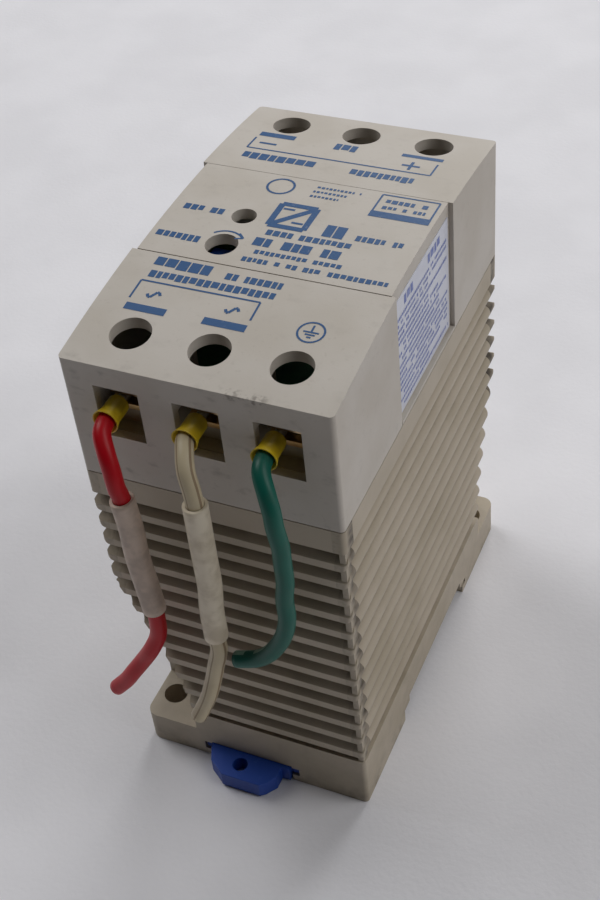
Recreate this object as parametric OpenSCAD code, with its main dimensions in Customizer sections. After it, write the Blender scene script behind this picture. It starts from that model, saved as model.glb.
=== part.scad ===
// Switching power supply for a 35 mm DIN rail, with its three input conductors.
// The origin is on the rear plane at the middle of the rail channel. +Z runs to the front face,
// the input end is at -Y and the output end at +Y. All sizes are in millimetres.

/* [Housing] */
// Width along the rail
body_w = 45; // [44.5:0.5:46]
// Length across the rail, from the input end to the output end
body_l = 75; // [74.5:0.5:76]
// Depth from the rear plane to the ends of the front face
body_h = 95; // [94.5:0.5:96]
// How far the middle of the arched front face stands above its ends
arch_rise = 2.8; // [2.6:0.1:3]
// Wall thickness of the front covers
wall = 1.6; // [1.4:0.1:1.8]
// Thickness of the front face
face_t = 2; // [1.8:0.1:2.2]
// Height of the seam between the covers and the case
cover_seam_z = 71.6; // [71.4:0.1:71.8]
// Where the input cover meets the centre panel
input_seam_y = -12; // [-12.2:0.1:-11.9]
// Where the centre panel meets the output cover
output_seam_y = 14.1; // [14:0.1:14.3]
// How far the sides of the centre panel stand back
side_recess = 0.8; // [0.6:0.1:1]

/* [Cooling fins] */
// Distance from fin to fin
fin_pitch = 4.09; // [4.05:0.01:4.1]
// Number of fins
fin_count = 13; // [11:1:13]
// Height of a fin at its root
fin_h = 3; // [2.8:0.1:3.2]
// How far the end fins stand out
fin_depth = 1.9; // [1.6:0.1:2]
// How far the side ribs stand out
rib_depth = 1.2; // [1:0.1:1.3]

/* [Terminals] */
// Width of a conductor window
window_w = 7.7; // [7.2:0.1:7.8]
// Height of a conductor window
window_h = 9.9; // [9.4:0.1:10]
// Diameter of the screwdriver holes
access_d = 6.7; // [6.5:0.1:6.8]
// Radius of the terminal screw's thread, M3.5
screw_r = 1.7; // [1.68:0.01:1.72]
// Diameter of the terminal screw's head
head_d = 6; // [5.8:0.1:6.2]

/* [Base and rail] */
// Height of the base
base_h = 12.2; // [12:0.1:12.4]
// Thickness of the screw flanges
flange_h = 7.2; // [7:0.1:7.4]
// Diameter of the mounting holes
mount_hole_d = 4.5; // [4.3:0.1:4.6]
// Distance between the mounting holes along the rail
mount_dx = 38; // [37.8:0.1:38.2]
// Distance between the mounting holes across the rail
mount_dy = 63; // [62.8:0.1:63.2]

/* [Rail latch] */
// Width of the latch at the base
latch_w = 16; // [15.6:0.1:16.2]
// How far the latch's tab stands out of the base
latch_reach = 5.7; // [5.5:0.1:6]

/* [Conductors] */
// Outer diameter of a conductor
wire_d = 2.9; // [2.8:0.1:3]
// Outer diameter of a ferrule's collar
collar_d = 3.5; // [3.5:0.1:3.7]
// Outer diameter of a marker tube
marker_d = 4; // [3.9:0.1:4.1]

/* [Hidden] */

eps = 0.05;                 // overlap that makes a cut clean
half_w = body_w / 2;
half_l = body_l / 2;
top_z = body_h + arch_rise; // middle of the front face
arch_r = (half_l * half_l + arch_rise * arch_rise) / (2 * arch_rise);

// Case and fins
core_x = half_w - rib_depth;          // side wall between two ribs
core_y = half_l - fin_depth;          // end wall between two fins
cavity_x = core_x - 1.5;
cavity_y = core_y - 1.4;
band_z = 66.6;                        // lower edge of the plain band under the covers
fin_top_z = band_z - 1.1;             // root of the highest fin
fin_face_h = 1.5;                     // upright front edge of an end fin
slot_h = fin_pitch - fin_h;
rib_r = 1.5;                          // round tip of a side rib
corner_r = 0.8;
flange_corner_r = 2.2;
post_w = 1.3;                         // plain strip at two of the upright corners

// Corner reliefs over the mounting flanges: a bowl that narrows towards the front
relief_r = 10.8;
relief_top_z = 46;
relief_steps = 8;
relief_wall = 1.5;

// Terminals
terminal_x = [-13.6, -0.3, 13.1];     // screw axes, the same at both ends
window_x = [-13.4, 0, 13.3];
barrier_x = [-6.95, 6.4];              // barriers between the terminals
input_axis_y = -30.1;
output_axis_y = 31.6;
window_z = 80.9;                      // sill of the conductor windows
plate_z = 83.6;
plate_t = 1;
sleeve_d = 1.8;
clamp_t = 0.8;
clamp_z = plate_z + plate_t + sleeve_d;
head_z = clamp_z + clamp_t;
head_h = 2;
board_z = 73.9;
board_t = 1.6;
block_z = board_z + board_t;

// Control panel on the centre of the front
led_at = [-8.6, 0.75];
led_hole_d = 4.2;
trimmer_at = [-8.9, -7.3];
trimmer_hole_d = 5.45;
trimmer_top_z = 94.2;
rotor_r = 1.9;
control_z = 86.7;
control_t = 1.2;
label_top_z = 95.2;

// Boards and what stands on the main board
main_x = -17.8;
mounted_x = main_x + board_t;
heatsink_x = mounted_x + 9.2;
transformer_y = 9;
transformer_z = 49.5;

// Base and latch
rail_w = 35;                          // the rail, edge to edge
channel_y = rail_w / 2 + 0.2;
hook_y = 16.6;
channel_h = 4.5;
lip_z = 1.6;                          // underside of the rail's flange
flange_slot_z = 2.8;
latch_x = -0.75;
latch_z = 0.3;
latch_top_z = 3.8;
latch_roof_z = 4;
rib_w = 1.45;                         // guide rib along each side of the latch
spring_y0 = -34;
spring_l = 9.8;
spring_r = 1.4;
spring_wire_r = 0.25;

// Conductors: each route starts inside the collar, leaves it level and turns down
conductor_z = 85.5;
collar_y0 = -34.6;
collar_y1 = -39.4;
wire_start_y = -36;
ferrule_x = [-15, -1.5, 11.5];
red_route = [
    [-15, -36, 85.5], [-15, -39, 85.5], [-14.5, -41.5, 85], [-13, -43.5, 83], [-12, -44.5, 80.5],
    [-11.5, -45, 78], [-11, -45, 75.5], [-10.5, -45, 69.5], [-10.5, -45, 63], [-10, -45, 57],
    [-9.5, -45, 50.5], [-9.5, -45, 47], [-10, -45, 43.5], [-11.5, -45.5, 40], [-13.5, -45.5, 36.5],
    [-16, -46, 32.6], [-18, -46, 29.4], [-20.5, -46, 26.2]
];
red_marker = [6, 10];                 // first and last route point under the marker tube
white_route = [
    [-1.5, -36, 85.5], [-1.5, -39, 85.5], [-0.5, -41.5, 85], [0.5, -43.5, 83.5], [1.5, -44.5, 81],
    [2, -45, 78.5], [2, -45, 73], [2, -45, 67], [2, -45, 60.5], [1.5, -45, 54], [1.5, -45, 48],
    [1.5, -45, 44.5], [0.5, -45, 40.5], [-0.5, -45, 36.5], [-1.5, -45.5, 32.5], [-3, -45.5, 28.5],
    [-4.5, -46, 25]
];
white_marker = [5, 10];
green_route = [
    [11.5, -36, 85.5], [11.5, -39, 85.5], [12, -41.5, 85], [13.5, -43.5, 83], [14.5, -44.5, 80.5],
    [15, -45, 77.5], [15.5, -45, 74], [15.5, -45, 70], [15.5, -45, 66], [15, -45, 62],
    [15, -45, 57.5], [14, -45, 53], [12, -45, 48.8], [9.8, -45, 46], [7.5, -45, 44.4], [4.6, -45, 43.2]
];

// ---- shapes used by several parts ----

// Extrudes a Y-Z outline along X, over both halves of the width
module along_x(width) {
    rotate([90, 0, 90]) linear_extrude(width, center = true) children();
}

// Extrudes an X-Z outline along Y, over both halves of the length
module along_y(length) {
    rotate([90, 0, 0]) linear_extrude(length, center = true) children();
}

// A box given by its low and high corners
module span(low, high) {
    translate(low) cube(high - low);
}

// Puts its children at both flange corners, turned half a turn about Z
module at_both_flanges() {
    for (turn = [0, 180]) rotate([0, 0, turn]) translate([-half_w, -half_l, 0]) children();
}

// The housing's plan with round corners; the flange corners may have their own radius
module plan(plain_r, flange_r) {
    difference() {
        square([body_w, body_l], center = true);
        for (turn = [0, 180]) rotate(turn) {
            translate([-half_w, -half_l]) corner_waste(flange_r);
            translate([half_w, -half_l]) rotate(90) corner_waste(plain_r);
        }
    }
}

// What a round corner of radius r takes off a square corner at the origin
module corner_waste(r) {
    difference() {
        translate([-1, -1]) square(r + 1);
        translate([r, r]) circle(r, $fn = 48);
    }
}

function relief_radius(z) = relief_r * (1 - pow((z - base_h) / (relief_top_z - base_h), 1.45));

// The bowl over a flange, about the housing's corner, made larger by extra
module relief(extra) {
    levels = [for (i = [0:relief_steps]) base_h + (relief_top_z - base_h) * i / relief_steps];
    rotate_extrude($fn = 64) polygon(concat(
        [[0, flange_h], [relief_r + extra, flange_h]],
        [for (z = levels) [relief_radius(z) + extra, z]],
        [[0, relief_top_z + extra]]));
}

// ---- housing ----

// End fins in profile: an upright front edge, then a slope up to the root
module end_fin_profile() {
    square_span([-core_y, base_h], [core_y, cover_seam_z - 0.2]);
    square_span([-half_l, band_z], [half_l, cover_seam_z - 0.2]);
    for (k = [0:fin_count - 1], side = [-1, 1]) {
        root_z = fin_top_z - k * fin_pitch;
        polygon([
            [side * (core_y - 0.5), root_z - fin_h], [side * half_l, root_z - fin_h],
            [side * half_l, root_z - fin_h + fin_face_h], [side * core_y, root_z],
            [side * (core_y - 0.5), root_z]]);
    }
}

// Side ribs in profile: half-round tips on a flat wall
module side_rib_profile() {
    square_span([-core_x, base_h], [core_x, cover_seam_z - 0.2]);
    square_span([-half_w, band_z], [half_w, cover_seam_z - 0.2]);
    for (k = [0:fin_count - 1], side = [-1, 1])
        translate([side * (half_w - rib_r), fin_top_z - k * fin_pitch - fin_h / 2])
            circle(rib_r, $fn = 32);
}

module square_span(low, high) {
    translate(low) square(high - low);
}

// Vent slots through one end wall, with bridges between them
module end_slots() {
    for (k = [1:fin_count - 1]) {
        z = fin_top_z - k * fin_pitch;
        left = z > relief_top_z ? -19 : -10.2;
        for (slot = [[left, -0.8], [0.8, 15.4], [16.6, 19]])
            span([slot[0], -core_y - eps, z + 0.05], [slot[1], -cavity_y + eps, z + slot_h - 0.05]);
    }
}

module case_shell() color("#cdc6b4") {
    difference() {
        union() {
            intersection() {
                along_x(body_w + 2) end_fin_profile();
                along_y(body_l + 2) side_rib_profile();
                linear_extrude(body_h) plan(corner_r, corner_r);
            }
            for (turn = [0, 180]) rotate([0, 0, turn])
                span([half_w - post_w, -half_l + 0.3, base_h + 0.1],
                     [half_w - 0.3, -half_l + post_w + 1, band_z + 1]);
        }
        difference() {
            span([-cavity_x, -cavity_y, base_h - 1], [cavity_x, cavity_y, cover_seam_z + 1]);
            at_both_flanges() relief(relief_wall);
        }
        at_both_flanges() relief(0);
        for (turn = [0, 180]) rotate([0, 0, turn]) end_slots();
    }
    // Guides that hold the main board's edges
    for (x = [main_x - 1.2, mounted_x + 0.1]) {
        span([x, cavity_y - 1.6, 16], [x + 1.1, cavity_y + eps, 70]);
        span([x, -cavity_y - eps, 50], [x + 1.1, -cavity_y + 1.6, 70]);
    }
}

// Everything behind the arched front face, or behind a like arch set back by drop
module behind_front(drop) {
    translate([0, 0, top_z - arch_r]) rotate([0, 90, 0])
        cylinder(r = arch_r - drop, h = body_w + 4, center = true, $fn = 360);
}

// A slice of the front housing from y0 to y1
module front_slice(y0, y1, half) {
    intersection() {
        span([-half, y0, cover_seam_z], [half, y1, top_z]);
        linear_extrude(top_z + 1) plan(corner_r, corner_r);
        behind_front(0);
    }
}

// The room behind the front face, inside the walls
module front_room(half, y0, y1) {
    intersection() {
        span([-half, y0, cover_seam_z - 1], [half, y1, top_z]);
        behind_front(face_t);
    }
}

module front_hole(at, d) {
    translate([at[0], at[1], body_h - face_t - 1]) cylinder(d = d, h = arch_rise + face_t + 2, $fn = 48);
}

// What a terminal cover has at its three positions; sign is -1 at the input end
module cover_openings(axis_y, sign) {
    for (i = [0:2]) {
        front_hole([terminal_x[i], axis_y], access_d);
        span([window_x[i] - window_w / 2, min(sign * (half_l + 1), sign * (half_l - 3)), window_z],
             [window_x[i] + window_w / 2, max(sign * (half_l + 1), sign * (half_l - 3)),
              window_z + window_h]);
    }
}

// Barriers that hang from the front face between the terminals
module barriers(y0, y1) {
    intersection() {
        for (x = barrier_x) span([x - 0.6, y0, plate_z + 0.5], [x + 0.6, y1, top_z]);
        behind_front(face_t - eps);
    }
}

// Hooks that reach down into the case and hold a cover to it
module cover_hooks(y) {
    for (side = [-1, 1]) {
        x = side * (cavity_x - 0.8);
        span([min(x - 0.6, x - side * 0.6), y - 3, 68.5], [max(x + 0.6, x), y + 3, 73.2]);
        span([min(x, side * (half_w - wall + eps)), y - 3, cover_seam_z],
             [max(x, side * (half_w - wall + eps)), y + 3, 73.2]);
    }
}

module input_cover() color("#d3cdbf") {
    y1 = input_seam_y - 0.1;
    difference() {
        front_slice(-half_l, y1, half_w);
        front_room(half_w - wall, -half_l + wall, y1 + 1);
        cover_openings(input_axis_y, -1);
    }
    barriers(-half_l + wall - eps, -24);
    cover_hooks(-20);
}

module output_cover() color("#d3cdbf") {
    y0 = output_seam_y + 0.05;
    difference() {
        front_slice(y0, half_l, half_w);
        front_room(half_w - wall, y0 - 1, half_l - wall);
        cover_openings(output_axis_y, 1);
    }
    barriers(27, half_l - wall + eps);
    cover_hooks(23);
}

module centre_panel() color("#cfc9ba") {
    y0 = input_seam_y + 0.1;
    y1 = output_seam_y - 0.05;
    inner = half_w - side_recess - 1.3;
    difference() {
        union() {
            front_slice(y0, y1, half_w - side_recess);
            span([-half_w, y0, cover_seam_z], [half_w, y1, cover_seam_z + 0.6]);
        }
        front_room(inner, y0 - 1, y1 + 1);
        front_hole(led_at, led_hole_d);
        front_hole(trimmer_at, trimmer_hole_d);
    }
    // Posts that carry the control board
    intersection() {
        for (at = [[-15.4, -9.6], [-5.3, 3.8]])
            translate([at[0], at[1], control_z + control_t])
                cylinder(d = 2.6, h = top_z - control_z - control_t, $fn = 24);
        behind_front(face_t - eps);
    }
}

module side_label() color("#c9cfe0") {
    span([half_w - side_recess, input_seam_y + 0.7, cover_seam_z + 1.1],
         [half_w - side_recess + 0.12, output_seam_y - 0.9, label_top_z]);
}

module base_cover() color("#ccc5b2") {
    mouth = half_w + 1;
    difference() {
        union() {
            linear_extrude(base_h) plan(corner_r, flange_corner_r);
            // Tongue that locates the case
            span([-cavity_x + 0.2, -cavity_y + 0.2, base_h - eps],
                 [cavity_x - 0.2, cavity_y - 0.2, base_h + 1.4]);
        }
        difference() {
            span([-cavity_x + 1.4, -cavity_y + 1.4, flange_slot_z + 3.4],
                 [cavity_x - 1.4, cavity_y - 1.4, base_h + 2]);
            at_both_flanges() cylinder(r = relief_r + 1.9, h = base_h + 3, $fn = 64);
        }
        // The bowls and the holes over the flanges
        at_both_flanges() {
            relief(0);
            translate([0, 0, base_h - eps]) cylinder(r = relief_r + 1.7, h = 3, $fn = 64);
            translate([half_w - mount_dx / 2, half_l - mount_dy / 2, -1])
                cylinder(d = mount_hole_d, h = flange_h + 2, $fn = 40);
        }
        // Rail channel: the mouth, the slot for the rail's flanges, and a relief over the hat
        span([-mouth, -channel_y, -1], [mouth, hook_y, lip_z]);
        span([-mouth, -channel_y, lip_z - eps], [mouth, channel_y + 0.6, flange_slot_z]);
        span([-mouth, -rail_w / 2 + 2.5, flange_slot_z - eps], [mouth, rail_w / 2 - 2.5, channel_h]);
        // Latch slot, open below and in front, with a groove for each guide rib
        span([latch_x - latch_w / 2 - 0.25, -half_l - 1, -1],
             [latch_x + latch_w / 2 + 0.25, -channel_y + 1, latch_roof_z]);
        span([latch_x - latch_w / 2 - rib_w - 0.25, -half_l - 1, 1.6],
             [latch_x + latch_w / 2 + rib_w + 0.25, -channel_y - 1.2, 3.6]);
    }
    // Post that the latch's spring pushes on
    span([latch_x - 1.7, spring_y0 - 1.2, latch_z + 0.3],
         [latch_x + 1.7, spring_y0, latch_roof_z + eps]);
}

// ---- terminals ----

module terminal_block(y0, y1, pedestal_y0, pedestal_y1, axis_y, pedestal_w) {
    difference() {
        union() {
            span([-20.1, y0, block_z], [20.1, y1, window_z]);
            for (x = terminal_x)
                span([x - pedestal_w / 2, pedestal_y0, window_z - eps],
                     [x + pedestal_w / 2, pedestal_y1, plate_z]);
        }
        for (x = terminal_x)
            translate([x, axis_y, block_z + 1]) cylinder(r = 2.2, h = plate_z, $fn = 32);
    }
}

module input_terminal_block() color("#b9b3a2")
    terminal_block(-half_l + wall + 0.1, -24.6, -33.2, -24.6, input_axis_y, 8.2);

module output_terminal_block() color("#b9b3a2")
    terminal_block(28.4, half_l - wall - 0.1, 28.4, half_l - wall - 0.1, output_axis_y, 6.6);

// A bar: a plate with the threaded hole, and a leg down to the board
module terminal_bar(x, axis_y, y0, y1, leg_y, width) {
    difference() {
        span([x - width / 2, y0, plate_z], [x + width / 2, y1, plate_z + plate_t]);
        translate([x, axis_y, plate_z - 1]) cylinder(r = screw_r + 0.05, h = plate_t + 2, $fn = 40);
    }
    span([x - 1.5, leg_y, block_z], [x + 1.5, leg_y + 1, plate_z + plate_t]);
}

module input_terminal_bars() color("#c9a35a")
    for (x = terminal_x) terminal_bar(x, input_axis_y, -33.6, -24.4, -24.5, 7.6);

module output_terminal_bars() color("#c9a35a")
    for (x = terminal_x) terminal_bar(x, output_axis_y, 27.3, 35.8, 27.3, 6.4);

// A square clamp plate under the screw's head, its edges turned down over the conductor
module clamp_plate(i, axis_y, size) color("#c7a878") {
    translate([terminal_x[i - 1], axis_y, 0]) difference() {
        span([-size / 2, -size / 2, clamp_z], [size / 2, size / 2, head_z]);
        translate([0, 0, clamp_z - 1]) cylinder(r = screw_r + 0.15, h = 3, $fn = 40);
    }
}

// Terminal screw with a cross recess
module terminal_screw(i, axis_y) color("#b8b6ad") {
    translate([terminal_x[i - 1], axis_y, 0]) {
        difference() {
            union() {
                translate([0, 0, head_z]) cylinder(d = head_d, h = head_h - 0.4, $fn = 40);
                translate([0, 0, head_z + head_h - 0.4])
                    cylinder(d1 = head_d, d2 = head_d - 0.9, h = 0.4, $fn = 40);
            }
            for (turn = [30, 120]) rotate([0, 0, turn])
                span([-2, -0.4, head_z + head_h - 1], [2, 0.4, head_z + head_h + 1]);
        }
        translate([0, 0, head_z - 9.1]) cylinder(r = screw_r, h = 9.1 + eps, $fn = 40);
    }
}

// ---- boards and the parts on them ----

module terminal_board() color("#2f6b46")
    span([-20.2, -35.4, board_z], [20.2, 35.4, board_z + board_t]);

module main_board() color("#2f6b46") {
    top = board_z;
    translate([main_x, 0, 0]) rotate([90, 0, 90]) linear_extrude(board_t)
        polygon([[-24, 15], [33.9, 15], [33.9, top], [-33.9, top], [-33.9, 48], [-24, 42]]);
}

module control_board() color("#2f6b46")
    span([-17, -11.2, control_z], [-3.8, 5.2, control_z + control_t]);

module status_led() color("#3f8f4f") {
    base_z = control_z + control_t + 2.2;
    translate([led_at[0], led_at[1], 0]) {
        rotate_extrude($fn = 40) polygon(concat(
            [[0, base_z], [1.75, base_z], [1.75, base_z + 1], [1.5, base_z + 1]],
            [for (a = [0:15:90]) [1.5 * cos(a), base_z + 3.4 + 1.5 * sin(a)]]));
        for (x = [-1, 0.5]) span([x, -0.25, control_z + control_t], [x + 0.5, 0.25, base_z + eps]);
    }
}

module trimmer_body() color("#2457a6") {
    translate([trimmer_at[0], trimmer_at[1], 0]) difference() {
        span([-3.3, -3.3, control_z + control_t], [3.3, 3.3, trimmer_top_z]);
        translate([0, 0, trimmer_top_z - 1.2]) cylinder(r = rotor_r + 0.05, h = 3, $fn = 40);
    }
}

module trimmer_rotor() color("#e6e2d4") {
    translate([trimmer_at[0], trimmer_at[1], 0]) difference() {
        translate([0, 0, trimmer_top_z - 1.2]) cylinder(r = rotor_r, h = 1.3, $fn = 40);
        span([-2, -0.3, trimmer_top_z - 0.5], [2, 0.3, trimmer_top_z + 1]);
    }
}

// A box that stands out of the main board, given by its middle in Y and Z
module on_board(y, z, out, wide, high) {
    span([mounted_x, y - wide / 2, z - high / 2], [mounted_x + out, y + wide / 2, z + high / 2]);
}

// A round part whose axis stands out of the main board
module can_on_board(y, z, out, d) {
    translate([mounted_x, y, z]) rotate([0, 90, 0]) cylinder(d = d, h = out, $fn = 40);
}

module fuse() color("#d8d4c8")
    translate([mounted_x + 3.2, -30, 68.5]) rotate([-90, 0, 0]) cylinder(d = 5.4, h = 19, $fn = 32);

module line_capacitor() color("#d9a520") on_board(-16, 54.5, 13, 17.5, 9);

module line_choke() color("#4a4a4e")
    translate([mounted_x + 7, -29.2, 56]) rotate([90, 0, 0]) rotate_extrude($fn = 48)
        translate([5.2, 0]) square([3.2, 6.4], center = true);

module bridge_rectifier() color("#2b2b2e") on_board(-2, 66.5, 10.5, 15, 3.6);

module bulk_capacitor() color("#2d3b56") {
    can_on_board(-14, 37, 26, 16);
    translate([mounted_x + 25.9, -14, 37]) rotate([0, 90, 0]) cylinder(d = 14.6, h = 0.5, $fn = 40);
}

// A disc that stands on edge on two leads, its far face at y
module disc_part(y, z, d, thick) {
    axis_x = mounted_x + d / 2 + 1.8;
    translate([axis_x, y, z]) rotate([90, 0, 0]) cylinder(d = d, h = thick, $fn = 32);
    for (side = [-1, 1]) translate([mounted_x, y - thick / 2, z + side * d / 4])
        rotate([0, 90, 0]) cylinder(r = 0.3, h = d / 2 + 1, $fn = 16);
}

module inrush_thermistor() color("#3c4a3e") disc_part(10.2, 67, 9, 3.6);
module surge_varistor() color("#3b62b0") disc_part(15.4, 67, 9.5, 3.2);

// A power transistor or diode: a moulded body on a metal tab
module tab_package(y, z) {
    translate([0, y, z]) {
        color("#2b2b2e") span([mounted_x + 4.6, -5, -4.5], [mounted_x + 8, 5, 4.5]);
        color("#b9bbbd") for (lead = [-2.9, -0.35, 2.2])
            span([mounted_x, lead, -3.6], [mounted_x + 4.6 + eps, lead + 0.7, -3]);
        color("#b9bbbd") difference() {
            span([mounted_x + 8, -5, -4.5], [mounted_x + 9.2, 5, 11]);
            translate([mounted_x + 7, 0, 7.6]) rotate([0, 90, 0]) cylinder(r = 1.7, h = 3, $fn = 24);
        }
    }
}

module switch_transistor() tab_package(1, 22);
module output_diode() tab_package(16, 22);

module heatsinks() color("#aeb1b3") {
    for (y = [1, 16]) difference() {
        union() {
            span([heatsink_x, y - 6.6, 16], [heatsink_x + 1.5, y + 6.6, 36]);
            for (k = [-6.6, -2.4, 1.8, 5.1])
                span([heatsink_x + 1.5 - eps, y + k, 16], [heatsink_x + 7, y + k + 1.5, 26]);
        }
        translate([heatsink_x - 1, y, 29.6]) rotate([0, 90, 0]) cylinder(r = 1.6, h = 4, $fn = 24);
    }
}

module heatsink_screws() color("#b8b6ad")
    for (y = [1, 16]) translate([0, y, 29.6]) rotate([0, 90, 0]) {
        translate([0, 0, heatsink_x + 1.5]) cylinder(d = 5.5, h = 2, $fn = 32);
        translate([0, 0, mounted_x + 6.4]) cylinder(r = 1.5, h = 4.4, $fn = 24);
    }

module transformer_core() color("#3a3a3d") {
    translate([mounted_x, transformer_y, transformer_z]) difference() {
        span([0, -10, -10.5], [20, 10, 10.5]);
        for (side = [-1, 1])
            span([3.4, -11, side * 5.25 - 3.2], [16.6, 11, side * 5.25 + 3.2]);
    }
}

module transformer_coil() color("#e0c84a") {
    translate([mounted_x, transformer_y, transformer_z]) difference() {
        span([3.7, -13, -8.2], [16.3, 13, 8.2]);
        span([3.3, -10.2, -2.2], [16.7, 10.2, 2.2]);
        for (side = [-1, 1])
            span([3.3, -10.2, side * 10.5 - 2.2], [16.7, 10.2, side * 10.5 + 2.2]);
    }
}

module optocoupler() color("#e8e6e0") on_board(26.2, 44, 4, 6.4, 4.6);

module control_chip() color("#2b2b2e") on_board(26.5, 52, 3.4, 6.4, 9.4);

module output_capacitors() color("#2d3b56")
    for (z = [24, 35]) can_on_board(27.7, z, 20, 9.6);

module output_inductor() color("#7c4a2c") {
    can_on_board(27, 65, 1.4, 11);
    translate([1.3, 0, 0]) can_on_board(27, 65, 9, 8.6);
    translate([10.2, 0, 0]) can_on_board(27, 65, 1.4, 11);
}

module safety_capacitors() color("#3f79c4")
    for (y = [-10.5, -18.5]) disc_part(y, 22.5, 8, 3);

// ---- rail latch ----

module rail_latch() color("#1f4fb4") {
    inner_y = -channel_y - 0.2;
    translate([latch_x, 0, 0]) difference() {
        union() {
            // Body between the guides, and the tab with its cut corners
            span([-latch_w / 2, -half_l - 0.6, latch_z], [latch_w / 2, inner_y, latch_top_z]);
            translate([0, 0, latch_z]) linear_extrude(latch_top_z - latch_z) polygon([
                [-latch_w / 2, -half_l - 0.6], [-latch_w / 2 + 1.2, -half_l - 3.4],
                [-4.6, -half_l - latch_reach + 0.8], [-3.6, -half_l - latch_reach],
                [4, -half_l - latch_reach], [5, -half_l - latch_reach + 0.8],
                [6.4, -half_l - 3], [6.4, -half_l - 0.6]]);
            // Lip under the rail's flange
            span([-latch_w / 2, inner_y - eps, latch_z], [latch_w / 2, -hook_y, lip_z - 0.1]);
            // Guide ribs
            for (side = [-1, 1])
                span([side * (latch_w / 2 + rib_w / 2) - rib_w / 2 - eps, -half_l + 0.4, 1.9],
                     [side * (latch_w / 2 + rib_w / 2) + rib_w / 2 + eps, -24, 3.3]);
        }
        // Window for the spring and the post it pushes on
        span([-2, spring_y0 - 1.5, -1], [2, spring_y0 + spring_l + 0.1, 5]);
        translate([-1.1, -half_l - 2.6, -1]) cylinder(d = 2.8, h = 6, $fn = 32);
    }
}

// Ring of a tube about p, square to the direction along; the reference is never parallel to it
function tube_ring(p, along, r, sides) =
    let (t = along / norm(along), u = cross(t, [1, 1, -1]), n = u / norm(u), b = cross(t, n))
    [for (k = [0:sides - 1]) p + r * (cos(360 * k / sides) * n + sin(360 * k / sides) * b)];

// Direction of a route at point i
function route_way(route, i) = route[min(i + 1, len(route) - 1)] - route[max(i - 1, 0)];

// All rings of a route between two of its points
function tube_points(route, first, last, r, sides) =
    [for (i = [first:last]) each tube_ring(route[i], route_way(route, i), r, sides)];

// The four-sided face a, b, c, d as two triangles
function halves(a, b, c, d) = [[a, b, c], [a, c, d]];

// The wall between the rings of a tube whose first point is number start
function wall_faces(start, rings, sides) =
    [for (i = [0:rings - 2], k = [0:sides - 1])
        let (low = start + i * sides, high = low + sides, next = (k + 1) % sides)
        each halves(low + k, low + next, high + next, high + k)];

// The same wall with its faces turned the other way
function turned(faces) = [for (f = faces) [f[0], f[2], f[1]]];

module tube(route, r, sides) {
    n = len(route);
    polyhedron(
        tube_points(route, 0, n - 1, r, sides),
        concat(
            [[for (k = [0:sides - 1]) sides - 1 - k]],
            wall_faces(0, n, sides),
            [[for (k = [0:sides - 1]) (n - 1) * sides + k]]));
}

// A hollow tube that lies round part of a route
module sleeve(route, stretch, inner_r, outer_r, sides) {
    n = stretch[1] - stretch[0] + 1;
    m = n * sides;
    polyhedron(
        concat(tube_points(route, stretch[0], stretch[1], outer_r, sides),
               tube_points(route, stretch[0], stretch[1], inner_r, sides)),
        concat(
            wall_faces(0, n, sides),
            turned(wall_faces(m, n, sides)),
            [for (k = [0:sides - 1]) let (next = (k + 1) % sides)
                each halves(next, k, m + k, m + next)],
            [for (k = [0:sides - 1]) let (next = (k + 1) % sides)
                each halves(m - sides + k, m - sides + next, 2 * m - sides + next, 2 * m - sides + k)]));
}

// Compression spring in the latch's window, its coil computed turn by turn
module latch_spring() color("#c4c6c8") {
    turns = 6;
    steps = 10;
    pitch = (spring_l - 2 * spring_wire_r - 0.1) / turns;
    coil = [for (i = [0:turns * steps]) let (a = 360 * i / steps)
        [spring_r * cos(a), spring_r * sin(a), spring_wire_r + 0.05 + pitch * i / steps]];
    translate([latch_x, spring_y0, (latch_z + latch_top_z) / 2]) rotate([-90, 0, 0])
        coil_tube(coil, spring_wire_r, 6);
}

// A tube along a coil about Z, its rings turned to the axis
module coil_tube(coil, r, sides) {
    n = len(coil);
    polyhedron(
        [for (p = coil, k = [0:sides - 1])
            let (out = [p[0], p[1], 0] / norm([p[0], p[1], 0]), a = 360 * k / sides)
            p + r * (cos(a) * out + sin(a) * [0, 0, 1])],
        concat(
            [[for (k = [0:sides - 1]) k]],
            turned(wall_faces(0, n, sides)),
            [[for (k = [0:sides - 1]) n * sides - 1 - k]]));
}

// ---- conductors ----

// Ferrule collar: a straight barrel round the insulation and a flared mouth
module ferrule(i) color("#e8d32a") {
    bore_r = wire_d / 2 + 0.05;
    flare = 0.45;
    translate([ferrule_x[i - 1], 0, conductor_z]) rotate([90, 0, 0]) rotate_extrude($fn = 40) polygon([
        [sleeve_d / 2, -collar_y0], [collar_d / 2 - 0.2, -collar_y0], [collar_d / 2, -collar_y0 + 0.4],
        [collar_d / 2, -collar_y1 - 1.6], [collar_d / 2 + flare, -collar_y1],
        [collar_d / 2 + flare - 0.2, -collar_y1], [bore_r, -collar_y1 - 0.9], [bore_r, -wire_start_y],
        [sleeve_d / 2, -wire_start_y]]);
}

// Metal sleeves crimped on the conductors' cores, clamped in the terminals
module ferrule_sleeves() color("#d5d3cc")
    for (x = ferrule_x) translate([x, wire_start_y, conductor_z]) rotate([-90, 0, 0])
        cylinder(d = sleeve_d - 0.04, h = 3.7, $fn = 24);

module red_wire() color("#b3122a") tube(red_route, wire_d / 2, 8);
module white_wire() color("#e6e0cc") tube(white_route, wire_d / 2, 8);
module green_wire() color("#1d6b54") tube(green_route, wire_d / 2, 8);

module marker_tube_1() color("#e3d3c6")
    sleeve(red_route, red_marker, wire_d / 2 + 0.05, marker_d / 2, 8);
module marker_tube_2() color("#e0dcc6")
    sleeve(white_route, white_marker, wire_d / 2 + 0.05, marker_d / 2, 8);

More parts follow.
